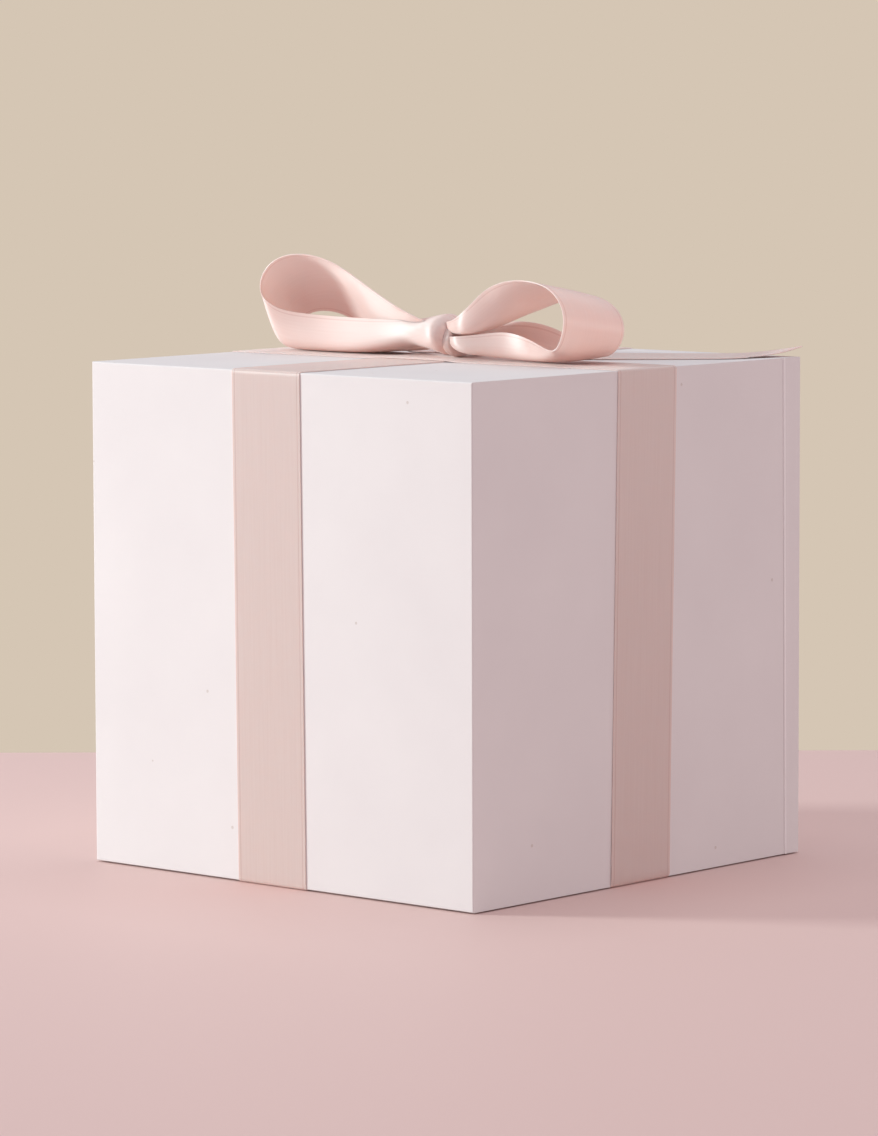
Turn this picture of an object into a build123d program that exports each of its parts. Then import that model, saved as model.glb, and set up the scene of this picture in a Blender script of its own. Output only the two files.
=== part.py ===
from build123d import *
import os

# Rigid paper-covered gift box, standing on one side with its lid at the back,
# dressed in satin ribbon and finished with a bow. Millimetres, +Z up.
# The origin is on the surface the box stands on, under the box's centre.
# -Y is the front panel, +Y the lid, and the bow stands over the middle of the top.

os.makedirs("parts", exist_ok=True)

# ---- Driving dimensions -----------------------------------------------------
box_side = 140.0        # outside of the papered cube
board_t = 2.0           # greyboard
paper_t = 0.25          # covering paper
lining_t = 0.2          # lining paper
stay_t = 0.12           # corner tape that holds the folded board
stay_w = 16.0           # reach of a corner tape on each wall
edge_r = 0.4            # roundness of a papered edge
lid_depth = 7.0         # rim of the lid at mid height
seam_skew = 1.3         # how much deeper the rim is at the top than at the bottom
seam_gap = 0.1          # open line between base and lid
turn_in = 15.0          # paper folded over the mouth of the base
neck_t = 1.2            # board of the inner neck
neck_deep = 30.0        # neck glued inside the base
neck_end_gap = 0.55     # air between the neck's end and the lid's lining
neck_fit = 0.4          # clearance between the neck and the rims
lid_shift = 0.3         # the lid sits this far to +X of the base, within its play
ribbon_w = 25.0
ribbon_t = 0.3
band_x = -3.0           # centre of the band that runs front to back
cross_y = 0.6           # centre of the band that runs side to side
knot_w, knot_d, knot_h = 17.0, 20.0, 11.0
loop_t = 0.8            # the soft loops and tails are drawn a little thicker than the ribbon
left_reach, left_height = 59.0, 21.0
right_reach, right_height = 46.0, 21.0
loop_gap = 0.4          # air between a loop or tail and the knot or the band under it
loop_lift = 0.2         # a loop rests this much higher than a tail does
pinch_low, pinch_high = 3.0, 7.0    # the two runs of a loop where they enter the knot
tail_apart = 1.0        # air between the two tails where they leave the knot
tail_root = 6.0         # length of a tail's pinched root
tail_inset = 14.0       # how far the middle of a tail's end stops short of the box's edges

# ---- Levels worked out from them --------------------------------------------
half = box_side / 2
low = ribbon_t                      # the box stands on the ribbon that passes under it
high = low + box_side
middle = low + half
skin = paper_t + stay_t             # board lies this deep under the outer face of a wall
board_half = half - skin
inner_half = board_half - board_t   # inner face of the board walls
mouth_half = inner_half - paper_t   # inner face of the folded-in paper
neck_half = mouth_half - neck_fit
rim = seam_gap / 2
seam = half - lid_depth             # at mid height
base_floor = -half + paper_t + board_t
lid_panel = half - paper_t - board_t
neck_stand = lid_panel - lining_t - neck_end_gap - seam
deck = high + ribbon_t              # top of the ribbon on top of the box
tail_root_w = (knot_w - tail_apart) / 2
tail_side = (knot_w + tail_apart) / 4


def seam_y(z):
    """The seam leans, so its place depends on the height."""
    return seam - seam_skew * (z - middle) / box_side


def side_outline(inset, panel_y, rim_y):
    """Side view of a tray: its panel stands at panel_y, its rim is rim_y from the seam."""
    bottom, top = low + inset, high - inset
    return [
        (panel_y, bottom),
        (seam_y(bottom) + rim_y, bottom),
        (seam_y(top) + rim_y, top),
        (panel_y, top),
    ]


def side_plane(x=0):
    return Plane.YZ.offset(x)


def across(y, x=0):
    """Plane that faces the lid, at depth y, centred on the box."""
    return Plane(origin=(x, y, middle), x_dir=(1, 0, 0), z_dir=(0, 1, 0))


# ---- Base: board tray, corner tapes, covering paper and lining ----------------
with BuildPart() as base_board:
    with BuildSketch(side_plane()):
        Polygon(*side_outline(skin, -half + paper_t, -rim - paper_t), align=None)
    extrude(amount=board_half, both=True)
    with BuildSketch(across(base_floor)):
        Rectangle(2 * inner_half, 2 * inner_half)
    extrude(amount=box_side, mode=Mode.SUBTRACT)

with BuildPart() as base_wrap:
    with BuildSketch(side_plane()):
        Polygon(*side_outline(0, -half, -rim), align=None)
    extrude(amount=half, both=True)
    fillet(base_wrap.edges().filter_by(GeomType.LINE).group_by(Axis.Y)[0], edge_r)
    with BuildSketch(side_plane()):
        Polygon(*side_outline(paper_t, -half + paper_t, -rim - paper_t), align=None)
    extrude(amount=half - paper_t, both=True, mode=Mode.SUBTRACT)
    with BuildSketch(side_plane()):
        Polygon(*side_outline(skin + board_t, seam - turn_in, -rim), align=None)
    extrude(amount=inner_half, both=True)
    with BuildSketch(across(seam - turn_in)):
        Rectangle(2 * mouth_half, 2 * mouth_half)
    extrude(amount=box_side, mode=Mode.SUBTRACT)

with BuildPart() as base_corner_tapes:
    with BuildSketch(across(-half + paper_t)) as tape_ends:
        with GridLocations(2 * board_half, 2 * board_half, 2, 2):
            Rectangle(2 * stay_w, 2 * stay_w)
        Rectangle(2 * (board_half + stay_t), 2 * (board_half + stay_t), mode=Mode.INTERSECT)
        Rectangle(2 * board_half, 2 * board_half, mode=Mode.SUBTRACT)
    extrude(amount=seam - seam_skew + half - 2 * paper_t)

with BuildPart() as base_lining:
    with BuildSketch(across(base_floor)):
        Rectangle(2 * inner_half, 2 * inner_half)
    extrude(amount=seam - turn_in - base_floor)
    with BuildSketch(across(base_floor + lining_t)):
        Rectangle(2 * (inner_half - lining_t), 2 * (inner_half - lining_t))
    extrude(amount=box_side, mode=Mode.SUBTRACT)

# ---- Neck: four strips glued inside the base, which the lid slides over --------
neck_length = neck_deep + neck_stand
neck_middle = neck_half - neck_t / 2


def neck_strip(x, z, width, height):
    """One strip of the neck, seen from the lid, running from inside the base past the seam."""
    with BuildPart() as strip:
        with BuildSketch(across(seam - neck_deep)):
            with Locations((x, z)):
                Rectangle(width, height)
        extrude(amount=neck_length)
    return strip


neck_left = neck_strip(-neck_middle, 0, neck_t, 2 * neck_half)
neck_right = neck_strip(neck_middle, 0, neck_t, 2 * neck_half)
# The plane's second axis points down, so the top strip is on its negative side.
neck_top = neck_strip(0, -neck_middle, 2 * (neck_half - neck_t), neck_t)
neck_bottom = neck_strip(0, neck_middle, 2 * (neck_half - neck_t), neck_t)

# ---- Lid: the same build, shallow, and a little to one side ---------------------
with BuildPart() as lid_board:
    with BuildSketch(side_plane(lid_shift)):
        Polygon(*side_outline(skin, half - paper_t, rim + paper_t), align=None)
    extrude(amount=board_half, both=True)
    with BuildSketch(across(lid_panel, lid_shift)):
        Rectangle(2 * inner_half, 2 * inner_half)
    extrude(amount=-box_side, mode=Mode.SUBTRACT)

with BuildPart() as lid_wrap:
    with BuildSketch(side_plane(lid_shift)):
        Polygon(*side_outline(0, half, rim), align=None)
    extrude(amount=half, both=True)
    fillet(lid_wrap.edges().filter_by(GeomType.LINE).group_by(Axis.Y)[-1], edge_r)
    with BuildSketch(side_plane(lid_shift)):
        Polygon(*side_outline(paper_t, half - paper_t, rim + paper_t), align=None)
    extrude(amount=half - paper_t, both=True, mode=Mode.SUBTRACT)
    with BuildSketch(side_plane(lid_shift)):
        Polygon(*side_outline(skin + board_t, lid_panel, rim), align=None)
    extrude(amount=inner_half, both=True)
    with BuildSketch(across(lid_panel, lid_shift)):
        Rectangle(2 * mouth_half, 2 * mouth_half)
    extrude(amount=-box_side, mode=Mode.SUBTRACT)

with BuildPart() as lid_corner_tapes:
    with BuildSketch(across(half - paper_t, lid_shift)):
        with GridLocations(2 * board_half, 2 * board_half, 2, 2):
            Rectangle(2 * stay_w, 2 * stay_w)
        Rectangle(2 * (board_half + stay_t), 2 * (board_half + stay_t), mode=Mode.INTERSECT)
        Rectangle(2 * board_half, 2 * board_half, mode=Mode.SUBTRACT)
    extrude(amount=-(lid_depth - seam_skew - 2 * paper_t))

with BuildPart() as lid_lining:
    with BuildSketch(across(lid_panel - lining_t, lid_shift)):
        Rectangle(2 * mouth_half, 2 * mouth_half)
    extrude(amount=lining_t)

# ---- Ribbon bands ---------------------------------------------------------------
# Where the two bands cross, over and under the box, each is pressed to half its thickness.
half_ply = ribbon_t / 2
outer_half = half + ribbon_t

with BuildPart() as side_to_side_band:
    with BuildSketch(across(cross_y - ribbon_w / 2)):
        RectangleRounded(2 * outer_half, 2 * outer_half, ribbon_t + edge_r)
        Rectangle(box_side, box_side, mode=Mode.SUBTRACT)
        with Locations((band_x, 0)):
            Rectangle(ribbon_w, 2 * (half + half_ply), mode=Mode.SUBTRACT)
    extrude(amount=ribbon_w)

with BuildPart() as front_band:
    with BuildSketch(side_plane(band_x)):
        Polygon(
            (-outer_half, low - ribbon_t),
            (seam_y(low) - rim, low - ribbon_t),
            (seam_y(high) - rim, high + ribbon_t),
            (-outer_half, high + ribbon_t),
            align=None,
        )
        with Locations((0, middle)):
            Rectangle(box_side, box_side, mode=Mode.SUBTRACT)
        for crossing_z in (low - ribbon_t, high + ribbon_t):
            with Locations((cross_y, crossing_z)):
                Rectangle(ribbon_w, ribbon_t, mode=Mode.SUBTRACT)
    extrude(amount=ribbon_w / 2, both=True)
    fillet(front_band.edges().filter_by(Axis.X).group_by(Axis.Y)[0], edge_r)

with BuildPart() as lid_band:
    with BuildSketch(side_plane(band_x)):
        Polygon(
            (outer_half, low - ribbon_t),
            (seam_y(low) + rim, low - ribbon_t),
            (seam_y(high) + rim, high + ribbon_t),
            (outer_half, high + ribbon_t),
            align=None,
        )
        with Locations((0, middle)):
            Rectangle(box_side, box_side, mode=Mode.SUBTRACT)
    extrude(amount=ribbon_w / 2, both=True)
    fillet(lid_band.edges().filter_by(Axis.X).group_by(Axis.Y)[-1], edge_r)

# ---- Bow: knot, two loops and two tails -------------------------------------------
with BuildPart() as knot:
    with BuildSketch(Plane.XY.offset(deck)):
        RectangleRounded(knot_w, knot_d, 5)
    extrude(amount=knot_h)
    fillet(knot.faces().sort_by(Axis.Z)[-1].edges(), 4)


def bow_loop(side, reach, height):
    """A teardrop loop of ribbon lying out to one side of the knot, side = -1 or +1."""
    root = knot_w / 2 + loop_gap
    lie = loop_gap + loop_lift
    corners = [
        (root, lie + pinch_low),
        (root + 0.3 * reach, lie),
        (root + reach, lie),
        (root + reach, lie + height),
        (root + 0.5 * reach, lie + height),
        (root, lie + pinch_high),
    ]
    bends = [2 * height, 0.45 * height, 0.5 * height, height]
    with BuildPart() as loop:
        with BuildSketch(Plane.XZ.offset(-ribbon_w / 2)):
            with BuildLine():
                run = FilletPolyline(*[(side * u, deck + v) for u, v in corners], radius=bends)
                Line(run @ 1, run @ 0)
            make_face()
            offset(amount=-loop_t, mode=Mode.SUBTRACT)
        extrude(amount=ribbon_w)
    return loop


bow_loop_left = bow_loop(-1, left_reach, left_height)
bow_loop_right = bow_loop(1, right_reach, right_height)


def bow_tail(side):
    """A flat tail: a narrow root straight back from the knot, then full width to a rear corner."""
    root = Vector(side * tail_side, knot_d / 2 + loop_gap)
    pinch = Vector(side * tail_root_w / 2, 0)
    straight = Vector(0, tail_root)
    tip = Vector(side * (half - tail_inset), half - tail_inset)
    along = (tip - root).normalized()
    flat = Vector(-along.Y, along.X) * (side * ribbon_w / 2)
    spread = root + along * (tail_root + ribbon_w)
    outline = [
        root - pinch,
        root - pinch + straight,
        spread + flat,
        tip + flat,
        tip - flat,
        spread - flat,
        root + pinch + straight,
        root + pinch,
    ]
    with BuildPart() as tail:
        with BuildSketch(Plane.XY.offset(deck + loop_gap)):
            Polygon(*[(p.X, p.Y) for p in outline], align=None)
        extrude(amount=loop_t)
    return tail


bow_tail_left = bow_tail(-1)
bow_tail_right = bow_tail(1)

# ---- Names and files ----------------------------------------------------------------
pieces = {
    "base_board": base_board,
    "base_corner_tapes": base_corner_tapes,
    "base_wrap": base_wrap,
    "base_lining": base_lining,
    "neck_left": neck_left,
    "neck_right": neck_right,
    "neck_top": neck_top,
    "neck_bottom": neck_bottom,
    "lid_board": lid_board,
    "lid_corner_tapes": lid_corner_tapes,
    "lid_wrap": lid_wrap,
    "lid_lining": lid_lining,
    "side_to_side_band": side_to_side_band,
    "front_band": front_band,
    "lid_band": lid_band,
    "knot": knot,
    "bow_loop_left": bow_loop_left,
    "bow_loop_right": bow_loop_right,
    "bow_tail_left": bow_tail_left,
    "bow_tail_right": bow_tail_right,
}
for name, piece in pieces.items():
    piece.part.label = name
    export_step(piece.part, f"parts/{name}.step")
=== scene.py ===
# %% [markdown]
# A gift box of white paper over greyboard, tied with a pink satin ribbon and a bow.
# The boards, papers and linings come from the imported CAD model, which is loaded first and
# never moved. The ribbon is soft, so it is modelled here, around the frame, in metres.

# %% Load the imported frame
import math
import bmesh
import bpy
from mathutils import Matrix, Vector


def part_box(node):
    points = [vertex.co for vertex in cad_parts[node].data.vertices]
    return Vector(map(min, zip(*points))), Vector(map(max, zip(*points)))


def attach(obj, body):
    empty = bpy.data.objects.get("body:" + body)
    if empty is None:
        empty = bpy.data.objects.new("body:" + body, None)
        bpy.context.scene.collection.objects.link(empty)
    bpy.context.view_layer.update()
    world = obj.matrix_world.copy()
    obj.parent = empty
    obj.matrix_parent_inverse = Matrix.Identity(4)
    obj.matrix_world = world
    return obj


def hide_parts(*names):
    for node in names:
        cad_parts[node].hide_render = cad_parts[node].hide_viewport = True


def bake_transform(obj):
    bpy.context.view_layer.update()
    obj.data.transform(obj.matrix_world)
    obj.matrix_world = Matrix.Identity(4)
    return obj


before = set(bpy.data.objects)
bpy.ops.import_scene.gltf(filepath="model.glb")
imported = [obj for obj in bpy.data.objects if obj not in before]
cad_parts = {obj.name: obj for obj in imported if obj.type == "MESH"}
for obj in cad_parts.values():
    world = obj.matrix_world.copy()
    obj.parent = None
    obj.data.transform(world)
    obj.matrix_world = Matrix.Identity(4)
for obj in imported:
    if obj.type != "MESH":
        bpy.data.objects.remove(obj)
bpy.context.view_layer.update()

print("nodes", len(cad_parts))

# %% [markdown]
# Every later measure starts from the box itself, so the top, the sides and the bottom are
# read from the wrapped tray and its lid. Lengths are written in millimetres, as a maker
# would say them, and one factor turns them into Blender's metres.

# %% Measure the box
MM = 0.001
tray_low, tray_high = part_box("base_wrap")
lid_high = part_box("lid_wrap")[1]
top = tray_high.z
bottom = tray_low.z
side = tray_high.x
front = tray_low.y
back = lid_high.y
box_middle = Vector((0, 0, (top + bottom) / 2))
print("box top, bottom, side, front, back in mm:")
print([round(v / MM, 2) for v in (top, bottom, side, front, back)])

# %% [markdown]
# Colours are picked the way a screen shows them, as hex values. Blender's shaders want
# linear light, so one function turns a hex value into that.

# %% Turn a hex colour into linear light
FULL_SCALE = 255
DARK_LIMIT = 0.04045
DARK_SLOPE = 12.92
SCREEN_OFFSET = 0.055
SCREEN_POWER = 2.4


def colour(code):
    """Linear red, green, blue and full opacity from an sRGB hex value such as #F3F0F0."""
    parts = []
    for start in (1, 3, 5):
        value = int(code[start:start + 2], 16) / FULL_SCALE
        if value <= DARK_LIMIT:
            parts.append(value / DARK_SLOPE)
        else:
            parts.append(((value + SCREEN_OFFSET) / (1 + SCREEN_OFFSET)) ** SCREEN_POWER)
    return (*parts, 1.0)


print("half grey is", [round(v, 3) for v in colour("#808080")])

# %% [markdown]
# A material is a small graph of nodes. One function adds any node: its settings, the plain
# values of its sockets, and the links that feed it. Maths and mixing nodes give several of
# their sockets the same name, so those are picked by number, and the numbers get names here.

# %% Add one node with its settings and links
FIRST = 0
SECOND = 1
THIRD = 2
MIX_SHARE = 0
MIX_FROM = 6
MIX_TO = 7
MIX_COLOUR = 2


def add(owner, kind, settings=None, values=None, links=None):
    """Add a node to a material or to the room, and hand it back."""
    node = owner.node_tree.nodes.new(kind)
    for name, value in (settings or {}).items():
        setattr(node, name, value)
    for name, value in (values or {}).items():
        node.inputs[name].default_value = value
    for name, output in (links or {}).items():
        owner.node_tree.links.new(output, node.inputs[name])
    return node


def new_material(name):
    """An empty material with its output node."""
    material = bpy.data.materials.new(name)
    material.use_nodes = True
    material.node_tree.nodes.clear()
    output = add(material, "ShaderNodeOutputMaterial")
    return material, output.inputs["Surface"]


def per_metre(size_mm):
    """Noise scale that makes one blob about this many millimetres wide."""
    return 1 / (size_mm * MM)


print("a 0.5 mm grain has scale", per_metre(0.5))

# %% [markdown]
# The box is wrapped in an uncoated white paper, pasted down over the board. Its fibres lie
# mostly one way, so the surface has a fine grain that runs level round the box, with a few
# flecks of darker fibre. It is matt and nearly white. Fibres are about 0.05 mm across, too
# fine to see at this distance, so the grain is drawn as flattened clumps 0.8 mm high.

# %% Wood-free cover paper, calendered and pasted over board
PAPER_WHITE = "#EFEDEC"
PAPER_SHADE = "#E6E3E3"
FLECK = "#DAD4D0"
GRAIN_LONG = 7.0
GRAIN_HIGH = 0.8
CLOUD_WIDE = 35.0
FLECK_SPACING = 14.0
FLECK_RADIUS = 0.035

paper, surface = new_material("wood_free_cover_paper")
place = add(paper, "ShaderNodeTexCoord")
stretch = add(
    paper, "ShaderNodeMapping",
    values={"Scale": (per_metre(GRAIN_LONG), per_metre(GRAIN_LONG), per_metre(GRAIN_HIGH))},
    links={"Vector": place.outputs["Object"]})
grain = add(
    paper, "ShaderNodeTexNoise",
    values={"Scale": 1.0, "Detail": 4.0, "Roughness": 0.6},
    links={"Vector": stretch.outputs["Vector"]})
clouds = add(
    paper, "ShaderNodeTexNoise",
    values={"Scale": per_metre(CLOUD_WIDE), "Detail": 3.0},
    links={"Vector": place.outputs["Object"]})
tint = add(
    paper, "ShaderNodeMix",
    settings={"data_type": "RGBA"},
    values={MIX_FROM: colour(PAPER_WHITE), MIX_TO: colour(PAPER_SHADE)},
    links={MIX_SHARE: clouds.outputs["Fac"]})
flecks = add(
    paper, "ShaderNodeTexVoronoi",
    values={"Scale": per_metre(FLECK_SPACING)},
    links={"Vector": place.outputs["Object"]})
is_fleck = add(
    paper, "ShaderNodeMath",
    settings={"operation": "LESS_THAN"},
    values={SECOND: FLECK_RADIUS},
    links={FIRST: flecks.outputs["Distance"]})
flecked = add(
    paper, "ShaderNodeMix",
    settings={"data_type": "RGBA"},
    values={MIX_TO: colour(FLECK)},
    links={MIX_SHARE: is_fleck.outputs["Value"], MIX_FROM: tint.outputs[MIX_COLOUR]})
relief = add(
    paper, "ShaderNodeBump",
    values={"Strength": 0.35, "Distance": 0.06 * MM},
    links={"Height": grain.outputs["Fac"]})
sheet = add(
    paper, "ShaderNodeBsdfPrincipled",
    values={"Roughness": 0.82, "IOR": 1.46, "Specular IOR Level": 0.3},
    links={"Base Color": flecked.outputs[MIX_COLOUR], "Normal": relief.outputs["Normal"]})
paper.node_tree.links.new(sheet.outputs["BSDF"], surface)
print("paper nodes", len(paper.node_tree.nodes))

# %% [markdown]
# Inside, the same kind of paper lines the board, a shade creamier and with no flecks. It is
# only seen when the lid is off, in the shade, so a soft grain is all that it needs.

# %% Lining paper, laid flat inside
LINING_CREAM = "#EAE4DC"
LINING_SHADE = "#DED6CC"
LINING_CLUMP = 1.2

lining, surface = new_material("lining_paper")
place = add(lining, "ShaderNodeTexCoord")
fibres = add(
    lining, "ShaderNodeTexNoise",
    values={"Scale": per_metre(LINING_CLUMP), "Detail": 5.0, "Roughness": 0.65},
    links={"Vector": place.outputs["Object"]})
tint = add(
    lining, "ShaderNodeMix",
    settings={"data_type": "RGBA"},
    values={MIX_FROM: colour(LINING_CREAM), MIX_TO: colour(LINING_SHADE)},
    links={MIX_SHARE: fibres.outputs["Fac"]})
relief = add(
    lining, "ShaderNodeBump",
    values={"Strength": 0.3, "Distance": 0.05 * MM},
    links={"Height": fibres.outputs["Fac"]})
sheet = add(
    lining, "ShaderNodeBsdfPrincipled",
    values={"Roughness": 0.88, "IOR": 1.46, "Specular IOR Level": 0.25},
    links={"Base Color": tint.outputs[MIX_COLOUR], "Normal": relief.outputs["Normal"]})
lining.node_tree.links.new(sheet.outputs["BSDF"], surface)
print("lining nodes", len(lining.node_tree.nodes))

# %% [markdown]
# Under the paper is greyboard: waste paper pulped again and pressed into a thick sheet. It
# is brownish grey, with darker bits of old print. It shows only where paper leaves it bare.

# %% Greyboard, pressed from recycled pulp
BOARD_GREY = "#A39A8C"
BOARD_BITS = "#7D7568"
PULP_CLUMP = 0.9

board, surface = new_material("greyboard")
place = add(board, "ShaderNodeTexCoord")
pulp = add(
    board, "ShaderNodeTexNoise",
    values={"Scale": per_metre(PULP_CLUMP), "Detail": 6.0, "Roughness": 0.7},
    links={"Vector": place.outputs["Object"]})
tint = add(
    board, "ShaderNodeMix",
    settings={"data_type": "RGBA"},
    values={MIX_FROM: colour(BOARD_GREY), MIX_TO: colour(BOARD_BITS)},
    links={MIX_SHARE: pulp.outputs["Fac"]})
relief = add(
    board, "ShaderNodeBump",
    values={"Strength": 0.5, "Distance": 0.1 * MM},
    links={"Height": pulp.outputs["Fac"]})
sheet = add(
    board, "ShaderNodeBsdfPrincipled",
    values={"Roughness": 0.92, "IOR": 1.46, "Specular IOR Level": 0.2},
    links={"Base Color": tint.outputs[MIX_COLOUR], "Normal": relief.outputs["Normal"]})
board.node_tree.links.new(sheet.outputs["BSDF"], surface)
print("greyboard nodes", len(board.node_tree.nodes))

# %% [markdown]
# The lid slides over a neck, a frame of smooth white card glued inside the tray. Card of
# this kind is coated with clay and polished, so it is whiter and a little glossier than
# paper. The corners of the boards are held by gummed paper tape, brown and slightly shiny.

# %% Clay-coated neck card and gummed kraft tape
CARD_WHITE = "#EDEAE6"
CARD_SHADE = "#E2DED9"
TAPE_BROWN = "#B08D66"
TAPE_DARK = "#9B7852"


def fibre_sheet(name, light, dark, clump_mm, roughness):
    """A plain fibrous sheet: two close colours in clumps, with a shallow relief."""
    material, to_surface = new_material(name)
    spot = add(material, "ShaderNodeTexCoord")
    clumps = add(
        material, "ShaderNodeTexNoise",
        values={"Scale": per_metre(clump_mm), "Detail": 4.0},
        links={"Vector": spot.outputs["Object"]})
    shade = add(
        material, "ShaderNodeMix",
        settings={"data_type": "RGBA"},
        values={MIX_FROM: colour(light), MIX_TO: colour(dark)},
        links={MIX_SHARE: clumps.outputs["Fac"]})
    hollows = add(
        material, "ShaderNodeBump",
        values={"Strength": 0.25, "Distance": 0.04 * MM},
        links={"Height": clumps.outputs["Fac"]})
    skin = add(
        material, "ShaderNodeBsdfPrincipled",
        values={"Roughness": roughness, "IOR": 1.5},
        links={"Base Color": shade.outputs[MIX_COLOUR], "Normal": hollows.outputs["Normal"]})
    material.node_tree.links.new(skin.outputs["BSDF"], to_surface)
    return material


neck_card = fibre_sheet(
    "clay_coated_card", CARD_WHITE, CARD_SHADE, clump_mm=2.5, roughness=0.45)
kraft_tape = fibre_sheet(
    "gummed_kraft_tape", TAPE_BROWN, TAPE_DARK, clump_mm=1.5, roughness=0.6)
print("made", neck_card.name, "and", kraft_tape.name)

# %% [markdown]
# Satin ribbon is woven with long floating threads of polyester that run its length. They
# make it glossy, and spread a highlight across the ribbon, which is what the tangent along
# the ribbon's width does here. A denser edge, the selvedge, keeps it from fraying and reads
# as a fine darker line 1 mm in. The threads are about 0.1 mm apart, so they are drawn as
# soft streaks 0.6 mm wide. Each ribbon carries a UV map in metres: u across, v along.

# %% Polyester satin ribbon, warp-faced with woven edges
RIBBON_PINK = "#F5D6CE"
RIBBON_DEEP = "#EECBC2"
SELVEDGE_PINK = "#C98E82"
SHEEN_PINK = "#FBE3DC"
RIBBON_WIDTH = 25.0
SELVEDGE_IN = 1.0
SELVEDGE_LINE = 0.35
SELVEDGE_SHARE = 0.3
THREAD_STREAK = 0.6
STREAK_LONG = 30.0
UV_NAME = "ribbon"

satin, surface = new_material("polyester_satin_ribbon")
cloth = add(satin, "ShaderNodeUVMap", settings={"uv_map": UV_NAME})
across = add(satin, "ShaderNodeSeparateXYZ", links={"Vector": cloth.outputs["UV"]})
streaks_at = add(
    satin, "ShaderNodeMapping",
    values={"Scale": (per_metre(THREAD_STREAK), per_metre(STREAK_LONG), 1.0)},
    links={"Vector": cloth.outputs["UV"]})
streaks = add(
    satin, "ShaderNodeTexNoise",
    values={"Scale": 1.0, "Detail": 3.0},
    links={"Vector": streaks_at.outputs["Vector"]})
tint = add(
    satin, "ShaderNodeMix",
    settings={"data_type": "RGBA"},
    values={MIX_FROM: colour(RIBBON_PINK), MIX_TO: colour(RIBBON_DEEP)},
    links={MIX_SHARE: streaks.outputs["Fac"]})
from_middle = add(
    satin, "ShaderNodeMath",
    settings={"operation": "SUBTRACT"},
    values={SECOND: RIBBON_WIDTH / 2 * MM},
    links={FIRST: across.outputs["X"]})
half_width = add(
    satin, "ShaderNodeMath",
    settings={"operation": "ABSOLUTE"},
    links={FIRST: from_middle.outputs["Value"]})
selvedge = add(
    satin, "ShaderNodeMath",
    settings={"operation": "COMPARE"},
    values={SECOND: (RIBBON_WIDTH / 2 - SELVEDGE_IN) * MM, THIRD: SELVEDGE_LINE / 2 * MM},
    links={FIRST: half_width.outputs["Value"]})
soft_line = add(
    satin, "ShaderNodeMath",
    settings={"operation": "MULTIPLY"},
    values={SECOND: SELVEDGE_SHARE},
    links={FIRST: selvedge.outputs["Value"]})
edged = add(
    satin, "ShaderNodeMix",
    settings={"data_type": "RGBA"},
    values={MIX_TO: colour(SELVEDGE_PINK)},
    links={MIX_SHARE: soft_line.outputs["Value"], MIX_FROM: tint.outputs[MIX_COLOUR]})
weave = add(
    satin, "ShaderNodeBump",
    values={"Strength": 0.25, "Distance": 0.03 * MM},
    links={"Height": streaks.outputs["Fac"]})
width_way = add(
    satin, "ShaderNodeTangent",
    settings={"direction_type": "UV_MAP", "uv_map": UV_NAME})
threads = add(
    satin, "ShaderNodeBsdfPrincipled",
    values={"Roughness": 0.52, "IOR": 1.6, "Anisotropic": 0.9,
            "Specular IOR Level": 0.95, "Subsurface Weight": 0.65,
            "Subsurface Radius": (1.0, 0.75, 0.7), "Subsurface Scale": 1.5 * MM,
            "Sheen Weight": 0.15, "Sheen Roughness": 0.4,
            "Sheen Tint": colour(SHEEN_PINK)},
    links={"Base Color": edged.outputs[MIX_COLOUR], "Normal": weave.outputs["Normal"],
           "Tangent": width_way.outputs["Tangent"]})
satin.node_tree.links.new(threads.outputs["BSDF"], surface)
print("satin nodes", len(satin.node_tree.nodes))

# %% [markdown]
# The hard pieces keep their CAD shape, which already has the real thickness, turn-ins and
# creased edges. Each only trades its plain material for the real one.

# %% Dress the hard pieces
finishes = {
    "base_board": board,
    "lid_board": board,
    "base_wrap": paper,
    "lid_wrap": paper,
    "base_lining": lining,
    "lid_lining": lining,
    "base_corner_tapes": kraft_tape,
    "lid_corner_tapes": kraft_tape,
    "neck_left": neck_card,
    "neck_right": neck_card,
    "neck_top": neck_card,
    "neck_bottom": neck_card,
}
for name, finish in finishes.items():
    for material_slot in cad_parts[name].material_slots:
        material_slot.material = finish
print("dressed", len(finishes), "pieces")

# %% [markdown]
# The other pieces are shaped here, with a few mesh operations each. Three small helpers take
# up what repeats: one picks out what an operation has just made, one rounds edges over, and
# one turns the finished shape into an object with its material.

# %% Helpers for shaping
ROUND_STEPS = 4
ROUND_PROFILE = 0.5
SAME_MATERIAL = -1


def only(made, kind):
    """Those of the made items that are of one kind."""
    return [item for item in made["geom"] if isinstance(item, kind)]


def round_over(shape, edges, reach_mm):
    """Round the edges over, each in a few small steps."""
    bmesh.ops.bevel(
        shape, geom=edges, affect="EDGES", offset=reach_mm * MM, offset_type="OFFSET",
        segments=ROUND_STEPS, profile=ROUND_PROFILE, material=SAME_MATERIAL)


def as_object(shape, name, material):
    """Turn the bmesh into an object of the scene, in one material."""
    data = bpy.data.meshes.new(name)
    shape.to_mesh(data)
    shape.free()
    piece = bpy.data.objects.new(name, data)
    bpy.context.scene.collection.objects.link(piece)
    piece.data.materials.append(material)
    return piece


print("edges are rounded over in", ROUND_STEPS, "steps")
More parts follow.
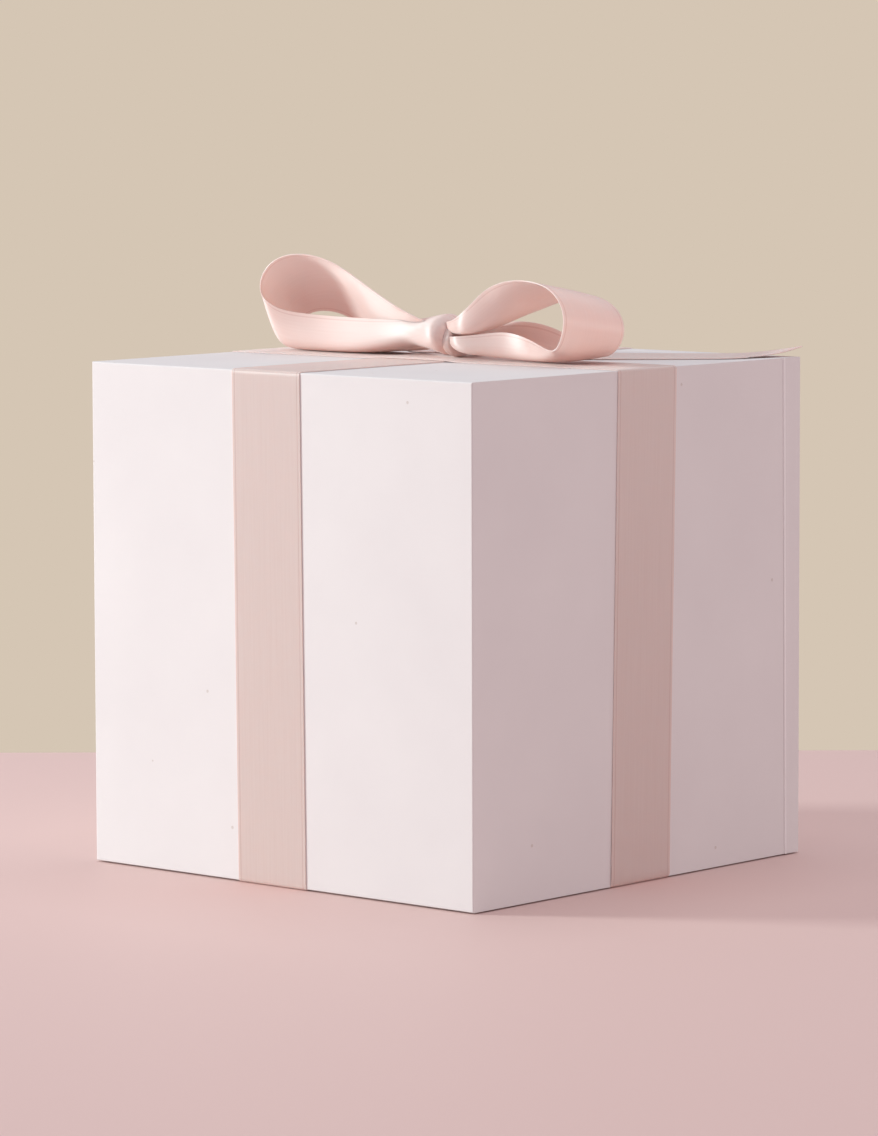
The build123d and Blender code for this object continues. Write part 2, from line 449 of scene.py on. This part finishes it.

# %% [markdown]
# The lid's paper is folded over the board's edge where the lid meets the tray. The fold is
# a little plumper than the board, so it stands proud there as a narrow lip, widest on the
# right. Its paper is coloured whiter than the cover, a painted highlight, so that it reads
# as a fine light line. It starts as one face per side of the box, is pulled out
# to a strip and has its outer edges eased.

# %% The folded paper edge along the lid's seam
# The lip's paper is painted whiter than the cover as a painted highlight, which draws the
# seam as a light line.
PAINTED_HIGHLIGHT_WHITE = "#FFFFFF"
PAINTED_HIGHLIGHT_TINT = "#FBF9F8"
SEAM_TOP_Y = 62.35
SEAM_FOOT_Y = 63.65
LIP_LEAD = 0.03
LIP_WIDE = 0.7
LIP_DEEP = 0.4
LIP_RIGHT = 0.42
LIP_LEFT = -0.24
LIP_LEVEL = 0.05
LIP_EASE = 0.3
HALF_TURNED = 0.5

# This material is the lip's painted highlight: paper coloured whiter than the cover.
painted_highlight_paper = fibre_sheet(
    "cover_paper_painted_highlight", PAINTED_HIGHLIGHT_WHITE, PAINTED_HIGHLIGHT_TINT, clump_mm=2.5, roughness=0.7)
half_high = (top - bottom) / 2
lip = bmesh.new()
lip_corners = [
    (-side - LIP_LEFT * MM, SEAM_TOP_Y, top + LIP_LEVEL * MM),
    (side + LIP_RIGHT * MM, SEAM_TOP_Y, top + LIP_LEVEL * MM),
    (side + LIP_RIGHT * MM, SEAM_FOOT_Y, bottom - LIP_LEVEL * MM),
    (-side - LIP_LEFT * MM, SEAM_FOOT_Y, bottom - LIP_LEVEL * MM)]
outer = []
inner = []
for x, y, z in lip_corners:
    corner = Vector((x, (y - LIP_LEAD) * MM, z))
    away = Vector((math.copysign(1, x), 0, math.copysign(1, z - box_middle.z)))
    outer.append(lip.verts.new(corner))
    inner.append(lip.verts.new(corner - away * LIP_DEEP * MM))
for here, then in ((0, 1), (1, 2), (2, 3), (3, 0)):
    lip.faces.new((outer[here], outer[then], inner[then], inner[here]))
made = bmesh.ops.extrude_face_region(lip, geom=lip.faces[:])
bmesh.ops.translate(
    lip, verts=only(made, bmesh.types.BMVert), vec=(0, LIP_WIDE * MM, 0))
bmesh.ops.recalc_face_normals(lip, faces=lip.faces[:])
outer_edges = [
    edge for edge in lip.edges
    if abs((edge.verts[0].co - edge.verts[1].co).normalized().y) < HALF_TURNED
    and all(abs(v.co.z - box_middle.z) > half_high for v in edge.verts)]
round_over(lip, outer_edges, LIP_EASE)
lid_edge = as_object(lip, "lid_edge_fold", painted_highlight_paper)
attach(lid_edge, "lid")
print("edge fold has", len(lid_edge.data.polygons), "faces")

# %% [markdown]
# Every ribbon piece is finished the same way: its mesh becomes an object, gets the satin, a
# smooth skin that keeps the cut corners, and the ribbon's thickness. Woven edges are crisp,
# so they get only a hair of a bevel, which also keeps the flat face's shading flat. The
# offset says which way the thickness grows from the drawn surface.

# %% Finish a ribbon piece
RIBBON_THICK = 0.3
EDGE_EASE = 0.05
EDGE_ANGLE = 60.0
OUTWARD = 1.0
BOTH_WAYS = 0.0
INWARD = -1.0


def finish_ribbon(shape, name, smooth, offset):
    """Turn the bmesh into a satin object with rounded form and real thickness."""
    piece = as_object(shape, name, satin)
    for face in piece.data.polygons:
        face.use_smooth = True
    rounder = piece.modifiers.new("rounder", "SUBSURF")
    rounder.levels = smooth
    rounder.render_levels = smooth
    rounder.boundary_smooth = "PRESERVE_CORNERS"
    body = piece.modifiers.new("cloth", "SOLIDIFY")
    body.thickness = RIBBON_THICK * MM
    body.offset = offset
    edge = piece.modifiers.new("woven_edge", "BEVEL")
    edge.width = EDGE_EASE * MM
    edge.segments = 1
    edge.limit_method = "ANGLE"
    edge.angle_limit = math.radians(EDGE_ANGLE)
    edge.harden_normals = True
    return piece


print("ribbon is", RIBBON_THICK, "mm thick")

# %% [markdown]
# The bands are flat ribbon pulled tight round the box. A band starts as a single line of
# points at the folds, is pulled sideways into a strip, and its folds are rounded over the
# box's edges. Loop cuts then give it enough points to lean a little, as a hand-tied ribbon
# does.

# %% Pull a line of fold points into a flat band
FOLD_ROUND = 0.7
RUN_CUTS = 40
WIDTH_CUTS = 5
LONG_RUN = 30.0
RUNG_SHARE = 0.9


def band(folds, sideways, closed):
    """A strip through the fold points, pulled sideways, rounded at each fold."""
    strip = bmesh.new()
    corners = [strip.verts.new(point) for point in folds]
    runs = list(zip(corners, corners[1:]))
    if closed:
        runs.append((corners[-1], corners[0]))
    line = [strip.edges.new(pair) for pair in runs]
    made = bmesh.ops.extrude_edge_only(strip, edges=line)
    bmesh.ops.translate(strip, verts=only(made, bmesh.types.BMVert), vec=sideways)
    creases = [edge for edge in strip.edges if len(edge.link_faces) == 2]
    round_over(strip, creases, FOLD_ROUND)
    runs = [edge for edge in strip.edges
            if edge.calc_length() > LONG_RUN * MM]
    bmesh.ops.subdivide_edges(strip, edges=runs, cuts=RUN_CUTS, use_grid_fill=True)
    rungs = [edge for edge in strip.edges
             if abs((edge.verts[0].co - edge.verts[1].co).dot(sideways.normalized()))
             > RUNG_SHARE * sideways.length]
    bmesh.ops.subdivide_edges(strip, edges=rungs, cuts=WIDTH_CUTS, use_grid_fill=True)
    return strip


def face_out(strip, middle):
    """Turn the strip's faces away from the middle of the box."""
    bmesh.ops.recalc_face_normals(strip, faces=strip.faces[:])
    facing = sum(face.normal.dot(face.calc_center_median() - middle) * face.calc_area()
                 for face in strip.faces)
    if facing < 0:
        bmesh.ops.reverse_faces(strip, faces=strip.faces[:])


def lay_uv(strip, from_edge, from_start):
    """Give each corner its place on the flat ribbon, in metres."""
    layer = strip.loops.layers.uv.new(UV_NAME)
    for face in strip.faces:
        for corner in face.loops:
            corner[layer].uv = (from_edge(corner.vert), from_start(corner.vert))


print("folds are rounded to", FOLD_ROUND, "mm")

# %% [markdown]
# The band that runs side to side goes right round the box, so its line is closed. Once its
# place on the ribbon is noted, it is eased: it leans on the two walls that it runs down,
# puckers a little near the foot of the right one, and rides up where it crosses the other
# band on top.

# %% The side-to-side band
SKIN = 0.02
CROSS_Y = 0.6
BAND_X = -3.0
LEAN = 1.5
LEAN_LEVEL = 0.9
RIDE = 0.38
RIDE_SLOPE = 4.0
PUCKER = 0.12
PUCKER_PITCH = 9.0
PUCKER_REACH = 45.0
PUCKER_SLANT = 90.0
skin = SKIN * MM
edge_y = (CROSS_Y - RIBBON_WIDTH / 2) * MM
strip = band(
    [Vector((-side - skin, edge_y, top + skin)),
     Vector((side + skin, edge_y, top + skin)),
     Vector((side + skin, edge_y, bottom - skin)),
     Vector((-side - skin, edge_y, bottom - skin))],
    Vector((0, RIBBON_WIDTH * MM, 0)), True)
face_out(strip, box_middle)
lay_uv(strip, lambda v: v.co.y - edge_y, lambda v: v.co.x - v.co.z)
for vert in strip.verts:
    up = (vert.co.z - bottom) / (top - bottom)
    right = vert.co.x / side
    vert.co.y += LEAN * MM * right * (2 * up - LEAN_LEVEL)
    if vert.co.z > top:
        outside = abs(vert.co.x / MM - BAND_X) - RIBBON_WIDTH / 2
        vert.co.z += RIDE * MM * min(1.0, max(0.0, 1 - outside / RIDE_SLOPE))
    if vert.co.x > side:
        low_down = max(0.0, 1 - (vert.co.z - bottom) / (PUCKER_REACH * MM))
        wave = math.sin(
            2 * math.pi * vert.co.z / (PUCKER_PITCH * MM) + PUCKER_SLANT * vert.co.y)
        vert.co.x += PUCKER * MM * low_down * (1 + wave)
side_band = finish_ribbon(strip, "side_to_side_ribbon", smooth=1, offset=OUTWARD)
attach(side_band, "box")
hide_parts("side_to_side_band")

# %% [markdown]
# The other band is cut at the lid's seam, so that the lid still slides off. The tray keeps
# the longer part: from the seam over the top, down the front and back under the box. Where
# the first band crosses it underneath, the box's weight presses it a little into the paper.

# %% The front band
FRONT_LEAN_TOP = -0.7
FRONT_LEAN_FOOT = 0.7
SEAM_AIR = 0.4
TUCK = 0.12
edge_x = (BAND_X - RIBBON_WIDTH / 2) * MM
strip = band(
    [Vector((edge_x, (SEAM_TOP_Y - SEAM_AIR) * MM, top + skin)),
     Vector((edge_x, front - skin, top + skin)),
     Vector((edge_x, front - skin, bottom - skin)),
     Vector((edge_x, (SEAM_FOOT_Y - SEAM_AIR) * MM, bottom - skin))],
    Vector((RIBBON_WIDTH * MM, 0, 0)), False)
face_out(strip, box_middle)
lay_uv(strip, lambda v: v.co.x - edge_x, lambda v: v.co.y - v.co.z)
for vert in strip.verts:
    up = (vert.co.z - bottom) / (top - bottom)
    near = (side - vert.co.y) / (2 * side)
    lean = FRONT_LEAN_FOOT + (FRONT_LEAN_TOP - FRONT_LEAN_FOOT) * up
    vert.co.x += lean * near * MM
    from_crossing = abs(vert.co.y - CROSS_Y * MM)
    if vert.co.z < bottom and from_crossing < (RIBBON_WIDTH / 2 + LEAN) * MM:
        vert.co.z += TUCK * MM
front_band = finish_ribbon(strip, "front_ribbon", smooth=1, offset=OUTWARD)
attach(front_band, "box")
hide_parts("front_band")

# %% [markdown]
# The lid carries the short part of that band down its own face. It is made the same way and
# rides on the lid.

# %% The lid band
strip = band(
    [Vector((edge_x, (SEAM_TOP_Y + SEAM_AIR) * MM, top + skin)),
     Vector((edge_x, back + skin, top + skin)),
     Vector((edge_x, back + skin, bottom - skin)),
     Vector((edge_x, (SEAM_FOOT_Y + SEAM_AIR) * MM, bottom - skin))],
    Vector((RIBBON_WIDTH * MM, 0, 0)), False)
face_out(strip, box_middle)
lay_uv(strip, lambda v: v.co.x - edge_x, lambda v: v.co.y + v.co.z)
lid_band = finish_ribbon(strip, "lid_ribbon", smooth=1, offset=OUTWARD)
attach(lid_band, "lid")
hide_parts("lid_band")

# %% [markdown]
# The bow is the same ribbon, left to stand in loops. A real loop is a strip that bends and
# twists as it goes, so it is described by ribs: at a few places along it, four points from
# its near edge to its far edge, each as x, y and the height above the box.
# Neighbouring ribs are bridged, and subdivision rounds the strip between them. Each rib's
# distance along the strip is kept for the weave.

# %% Bridge hand-placed ribs into a strip of ribbon
def ribbed_strip(ribs):
    """A strip of ribbon through the ribs, with its place on the flat ribbon in its UVs."""
    strip = bmesh.new()
    chains = []
    place_on_ribbon = {}
    travelled = 0.0
    before = None
    for rib in ribs:
        points = [Vector((x * MM, y * MM, top + height * MM)) for x, y, height in rib]
        middle = sum(points, Vector()) / len(points)
        if before is not None:
            travelled += (middle - before).length
        before = middle
        verts = [strip.verts.new(point) for point in points]
        for order, vert in enumerate(verts):
            share = order / (len(verts) - 1)
            place_on_ribbon[vert] = (share * RIBBON_WIDTH * MM, travelled)
        chains.append([strip.edges.new(pair) for pair in zip(verts, verts[1:])])
    for chain, following in zip(chains, chains[1:]):
        bmesh.ops.bridge_loops(strip, edges=chain + following)
    bmesh.ops.recalc_face_normals(strip, faces=strip.faces[:])
    lay_uv(strip, lambda v: place_on_ribbon[v][0], lambda v: place_on_ribbon[v][1])
    return strip, travelled


print("ribs are bridged in pairs")

# %% [markdown]
# The left loop leaves the knot, climbs to the left with its near edge high, turns over its
# end and comes back along the box. On the way back its far part lies flat, and its near part
# stands up like a low wall. It ends as a small mound in front of the knot.

# %% The left loop
left_ribs = [
    [(-3, -4.5, 10.3), (-3, -3.5, 8), (-3, -2, 6), (-3, 0, 4)],
    [(-10.5, -8, 13.6), (-11, -5.5, 10), (-11.5, -3, 6.5), (-12, 0, 3)],
    [(-24, -8.5, 20.8), (-25, -4.5, 14), (-26, -0.5, 7.5), (-27, 4, 1.2)],
    [(-34, -9, 26.4), (-35, -2.5, 22.5), (-36, 3.5, 15), (-36.5, 7.5, 6)],
    [(-45, -10, 29), (-45.5, -1.5, 26), (-45.5, 5.5, 19.5), (-45.5, 8.5, 10.8)],
    [(-55.5, -10.8, 27.6), (-56.5, -2.5, 24), (-56, 4, 18), (-54.5, 7, 12)],
    [(-61.5, -11, 21.8), (-64, -4.5, 18), (-64, 2, 13.6), (-62, 7, 9.6)],
    [(-62.3, -10, 15.7), (-64, -6, 9.2), (-64.5, 0, 3.6), (-63.5, 7, 1.2)],
    [(-57, -7.5, 12.2), (-60, -5.5, 5), (-63, -1, 0.2), (-63, 10, 0.7)],
    [(-50, -5.6, 11.3), (-51.5, -5.6, 4), (-53, -4, 0.1), (-53, 10, 0.8)],
    [(-40, -5, 10.9), (-40, -5.2, 3.2), (-40, -4, 0.2), (-40, 12.5, 0.8)],
    [(-28, -5, 10.7), (-28, -5.4, 3.2), (-28, -4, 0.5), (-28, 12, 0.8)],
    [(-17, -5, 10.6), (-17, -5.8, 5.2), (-17, -3.8, 2.6), (-17, 9, 1.4)],
    [(-9.5, -5.2, 10.8), (-9.5, -6.8, 7.4), (-9.5, -5, 4.4), (-9.5, 6, 2.5)],
    [(-4.5, -3.8, 11.2), (-4.5, -8, 8.6), (-4.5, -7.2, 3.6), (-4.5, 2, 2)],
    [(0, 1, 13), (0, -8.2, 11.4), (0, -9.2, 4.6), (0, -2, 1.4)],
    [(3.2, 2, 11.8), (3.2, -8.4, 10.2), (3.4, -9.4, 4.4), (3.4, 0, 1.6)],
    [(4.4, 2, 8.6), (4.4, -3, 7.4), (4.4, -3.2, 4.5), (4.4, 1, 3.5)],
]
strip, left_long = ribbed_strip(left_ribs)
left_loop = finish_ribbon(strip, "left_loop_ribbon", smooth=3, offset=BOTH_WAYS)
print("left loop is", round(left_long / MM, 1), "mm of ribbon")

# %% [markdown]
# The right loop is rounder and stands on its end, with its ribbon level from front to back
# there. Its lower run also raises a wall in front, highest near the knot.

# %% The right loop
right_ribs = [
    [(2, -3, 10.5), (2, -3.5, 8), (2, 0, 8), (2, 3.5, 9)],
    [(9.2, -8, 11.3), (10.8, -9.6, 7.4), (9.8, -1.5, 6.5), (8.5, 4, 9.5)],
    [(14.7, -8, 15.2), (16.3, -7.6, 7.8), (16.5, -0.5, 8.2), (15, 6, 10.5)],
    [(20.5, -7.6, 20.8), (21.3, -4, 11.4), (21.5, 2.5, 10.8), (20.5, 8.5, 12.3)],
    [(30.5, -9.8, 23.3), (27.4, -3.2, 19), (28.8, 4.6, 16.1), (30, 11, 16)],
    [(40, -12.5, 23.5), (39, -4, 22.2), (38.5, 4.5, 20.6), (38, 12.3, 18.8)],
    [(47.2, -12.5, 22.2), (46.3, -4, 21.2), (45.3, 4.5, 20), (44.6, 12.5, 18.4)],
    [(52, -12.5, 17.8), (52, -4, 17.3), (51.6, 4.5, 16.6), (51, 12.5, 15.6)],
    [(53.2, -12.5, 13), (53.8, -4, 12.5), (54, 4.5, 11.8), (54, 12.5, 10.9)],
    [(52, -12.5, 7.9), (52.9, -4, 6.9), (53.2, 4.5, 6), (53, 12.5, 5.3)],
    [(49.2, -12, 3.9), (49.2, -4.5, 2.2), (48.5, 4, 1.2), (47.5, 12, 0.9)],
    [(43, -9.5, 5.2), (43, -7.5, 1.4), (42, 3, 0.4), (41, 12, 3.2)],
    [(34.8, -5.4, 7.1), (34.8, -5.2, 0.7), (35, 3, 0.2), (35, 11.5, 7.5)],
    [(25, -4.1, 9.1), (25.6, -4.8, 1), (26, 4, 0.2), (25.5, 10, 10.8)],
    [(16.7, -5.2, 7.6), (17, -6.4, 1.6), (16.5, 2.5, 0.8), (15, 8, 11)],
    [(7.6, -7.4, 6.8), (8.8, -8.4, 2.7), (9.5, -1, 1.2), (7, 5, 8)],
    [(4.4, -4.4, 6.6), (5, -4.6, 4), (5, 0.5, 3), (3.8, 3, 5)],
]
strip, right_long = ribbed_strip(right_ribs)
right_loop = finish_ribbon(strip, "right_loop_ribbon", smooth=3, offset=BOTH_WAYS)
print("right loop is", round(right_long / MM, 1), "mm of ribbon")

# %% [markdown]
# Each loop is baked where it stands, in the box's frame, and the CAD model's
# own loop is hidden.

# %% Bake the loops in place
for loop, sign, length, word in (
        (left_loop, -1, left_long, "left"), (right_loop, 1, right_long, "right")):
    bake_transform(loop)
    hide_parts("bow_loop_" + word)

# %% [markdown]
# The two tails leave the knot at the back and lie flat towards the box's rear corners. They
# are pinched into a ridge under the knot and widen to the full ribbon. Their ends are cut on
# a slant, and the long corner of the cut curls up.

# %% The tails
right_tail_ribs = [
    [(0.6, 3, 1.6), (1.8, 3, 3.4), (3.4, 3, 3.4), (4.8, 3, 1.6)],
    [(0.8, 8, 1.4), (2.6, 8, 3), (4.8, 8, 3), (7, 8, 1.4)],
    [(1.4, 14, 1), (4.6, 12.6, 2.2), (8, 11.3, 2.2), (11.5, 10, 1)],
    [(3.8, 25, 0.8), (9.2, 20, 1.1), (15, 15, 1), (20.8, 10.8, 0.7)],
    [(16.5, 38.4, 0.65), (22, 32, 0.5), (27.5, 26, 0.4), (33, 19.8, 0.3)],
    [(30, 49.5, 0.25), (35, 44, 0.3), (40, 38, 0.3), (45.5, 31.5, 0.25)],
    [(44, 60, 0.3), (48, 54, 0.35), (52.5, 47.5, 0.3), (57, 41, 0.25)],
    [(57.5, 66.5, 0.5), (59.5, 61, 0.5), (62, 55, 0.4), (64.5, 49, 0.3)],
    [(70.3, 70.8, 2.9), (68.5, 66, 1.5), (66.5, 60.5, 0.8), (64.8, 55, 0.4)],
]
left_tail_ribs = [[(-x, y, height) for x, y, height in rib] for rib in right_tail_ribs]
for word, ribs in (("left", left_tail_ribs), ("right", right_tail_ribs)):
    strip, tail_long = ribbed_strip(ribs)
    tail = finish_ribbon(strip, word + "_tail_ribbon", smooth=2, offset=BOTH_WAYS)
    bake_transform(tail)
    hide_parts("bow_tail_" + word)
    print(word, "tail is", round(tail_long / MM, 1), "mm of ribbon")

# %% [markdown]
# The knot is the ribbon gathered into one narrow, tight turn over the loops' roots; the
# bright mound beside it belongs to the left loop. A circle is pulled along the bow into a
# short tube, and each new ring is scaled, so the tube swells and rolls in at its ends. Its
# place on the flat ribbon is well inside the edges, so no selvedge line runs over it.

# %% The knot
KNOT_SIDES = 24
KNOT_HEIGHT = 5.7
KNOT_DEEP = 6.8
KNOT_HALF_HIGH = 5.4
KNOT_TILT = 0.06
KNOT_FROM_EDGE = 14.0
PLEATS = 5
PLEAT_DEEP = 0.02
knot_rings = [
    (3.6, 0.15), (3.0, 0.5), (2.8, 0.8), (3.5, 0.93), (4.6, 0.93), (5.7, 0.93), (6.4, 0.8),
    (6.2, 0.5), (5.6, 0.15),
]
knot_middle = Vector((0, 0, top + KNOT_HEIGHT * MM))
knot = bmesh.new()
bmesh.ops.create_circle(knot, cap_ends=False, segments=KNOT_SIDES, radius=1.0)
bmesh.ops.rotate(knot, verts=knot.verts[:], cent=(0, 0, 0),
                 matrix=Matrix.Rotation(math.radians(90), 3, "Y"))
last_x, last_swell = knot_rings[0]
bmesh.ops.scale(knot, verts=knot.verts[:],
                vec=(1, KNOT_DEEP * MM * last_swell, KNOT_HALF_HIGH * MM * last_swell))
bmesh.ops.translate(
    knot, verts=knot.verts[:], vec=knot_middle + Vector((last_x * MM, 0, 0)))
ring = knot.edges[:]
for place_x, swell in knot_rings[1:]:
    made = bmesh.ops.extrude_edge_only(knot, edges=ring)
    ring = only(made, bmesh.types.BMEdge)
    ring_verts = only(made, bmesh.types.BMVert)
    bmesh.ops.translate(knot, verts=ring_verts, vec=((place_x - last_x) * MM, 0, 0))
    bmesh.ops.scale(knot, verts=ring_verts, space=Matrix.Translation(-knot_middle),
                    vec=(1, swell / last_swell, swell / last_swell))
    last_x = place_x
    last_swell = swell
bmesh.ops.recalc_face_normals(knot, faces=knot.faces[:])
lay_uv(knot, lambda v: v.co.x + KNOT_FROM_EDGE * MM,
       lambda v: math.atan2(v.co.z - knot_middle.z, v.co.y) * KNOT_DEEP * MM)
for vert in knot.verts:
    out = vert.co - knot_middle
    angle = math.atan2(out.z, out.y)
    pleat = 1 + PLEAT_DEEP * math.sin(PLEATS * angle + out.x / MM)
    vert.co.y = knot_middle.y + out.y * pleat
    vert.co.z = knot_middle.z + out.z * pleat
    vert.co.x += KNOT_TILT * out.z
knot_ribbon = finish_ribbon(knot, "knot_ribbon", smooth=2, offset=INWARD)
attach(knot_ribbon, "box")
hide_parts("knot")
print("knot has", len(knot_rings), "rings")

# %% [markdown]
# The box stands on a plain pale table. The table, the lights and the camera are far bigger
# than the box, so they are placed in metres. The main light is a small softbox on the left,
# low enough to rake the bow. Light bounced off a wall at the back right grazes the shaded
# side, a weak fill opens its shadows, and a large softbox overhead lights the top. The wall
# behind is seen as a warm beige, while the pieces are lit by a cooler grey room.

# %% Table, room and lights
TABLE_PALE = "#E6C9C3"
WALL_BEIGE = "#D5C6B4"
ROOM_LIGHT = "#BDB1B7"
CAMERA_AZIMUTH = 41.36
CAMERA_ELEVATION = 5.8
CAMERA_ROLL = -0.166
CAMERA_DISTANCE = 1.502
TABLE_BACK = 0.22
TABLE_FRONT = 1.6
TABLE_HALF_WIDE = 1.4
TABLE_DROP = 0.0001
ROLLER_STIPPLE = 3.0
AIM_HEIGHT = 0.08

table_finish, surface = new_material("painted_table_top")
spot = add(table_finish, "ShaderNodeTexCoord")
roller = add(
    table_finish, "ShaderNodeTexNoise",
    values={"Scale": per_metre(ROLLER_STIPPLE)},
    links={"Vector": spot.outputs["Object"]})
stipple = add(
    table_finish, "ShaderNodeBump",
    values={"Strength": 0.1, "Distance": 0.05 * MM},
    links={"Height": roller.outputs["Fac"]})
paint = add(
    table_finish, "ShaderNodeBsdfPrincipled",
    values={"Base Color": colour(TABLE_PALE), "Roughness": 0.6, "Specular IOR Level": 0.3},
    links={"Normal": stipple.outputs["Normal"]})
table_finish.node_tree.links.new(paint.outputs["BSDF"], surface)

slab = bmesh.new()
bmesh.ops.create_grid(slab, x_segments=2, y_segments=2, size=1.0)
bmesh.ops.scale(slab, verts=slab.verts[:],
                vec=(TABLE_HALF_WIDE, (TABLE_BACK + TABLE_FRONT) / 2, 1))
bmesh.ops.translate(slab, verts=slab.verts[:],
                    vec=(0, (TABLE_BACK - TABLE_FRONT) / 2, -TABLE_DROP))
bmesh.ops.rotate(slab, verts=slab.verts[:], cent=(0, 0, 0),
                 matrix=Matrix.Rotation(math.radians(CAMERA_AZIMUTH), 3, "Z"))
table = as_object(slab, "table", table_finish)

room = bpy.data.worlds.new("room")
bpy.context.scene.world = room
room.use_nodes = True
wall = room.node_tree.nodes["Background"]
wall.inputs["Color"].default_value = colour(WALL_BEIGE)
glow = add(room, "ShaderNodeBackground", values={"Color": colour(ROOM_LIGHT)})
seen = add(room, "ShaderNodeLightPath")
either = add(
    room, "ShaderNodeMixShader",
    links={"Fac": seen.outputs["Is Camera Ray"],
           SECOND: glow.outputs["Background"], THIRD: wall.outputs["Background"]})
room.node_tree.links.new(either.outputs["Shader"],
                         room.node_tree.nodes["World Output"].inputs["Surface"])


def soft_light(name, toward, distance, wide, high, watts, tone):
    """A soft rectangular light, seen from the box in the direction toward it."""
    lamp = bpy.data.lights.new(name, "AREA")
    lamp.shape = "RECTANGLE"
    lamp.size = wide
    lamp.size_y = high
    lamp.energy = watts
    lamp.color = colour(tone)[:3]
    holder = bpy.data.objects.new(name, lamp)
    bpy.context.scene.collection.objects.link(holder)
    away = Vector(toward).normalized()
    holder.location = away * distance + Vector((0, 0, AIM_HEIGHT))
    holder.rotation_euler = away.to_track_quat("Z", "Y").to_euler()


soft_light("key_softbox", toward=(-0.79, -0.58, 0.22), distance=1.6,
           wide=0.32, high=0.32, watts=21.0, tone="#F2FFFE")
soft_light("wall_bounce", toward=(0.68, 0.72, 0.0), distance=1.8,
           wide=1.2, high=0.3, watts=4.0, tone="#FFF4EE")
soft_light("room_fill", toward=(0.86, -0.5, 0.2), distance=2.0,
           wide=1.2, high=1.2, watts=1.1, tone="#FFF6F2")
soft_light("overhead_softbox", toward=(0.0, 0.1, 1.0), distance=1.6,
           wide=1.0, high=1.0, watts=7.0, tone="#F2FFFF")
print("room is lit")

# %% [markdown]
# The camera looks from the front right, a little above the table, through a long lens so
# that the box's upright edges stay upright.

# %% Camera
CAMERA_LENS = 169.8
LOOK_AT = Vector((-0.0026, -0.0008, 0.0816))
turn = math.radians(CAMERA_AZIMUTH)
lift = math.radians(CAMERA_ELEVATION)
view = bpy.data.cameras.new("camera")
view.lens = CAMERA_LENS
view.sensor_width = 36.0
view.clip_start = 0.05
camera = bpy.data.objects.new("camera", view)
bpy.context.scene.collection.objects.link(camera)
toward = Vector((math.sin(turn) * math.cos(lift), -math.cos(turn) * math.cos(lift),
                 math.sin(lift)))
camera.location = LOOK_AT + toward * CAMERA_DISTANCE
stand = (Matrix.Rotation(turn, 4, "Z") @ Matrix.Rotation(math.radians(90) - lift, 4, "X")
         @ Matrix.Rotation(math.radians(CAMERA_ROLL), 4, "Z"))
camera.rotation_euler = stand.to_euler()
bpy.context.scene.camera = camera
bpy.context.scene.view_settings.view_transform = "Standard"
print("camera stands at", [round(v, 3) for v in camera.location])
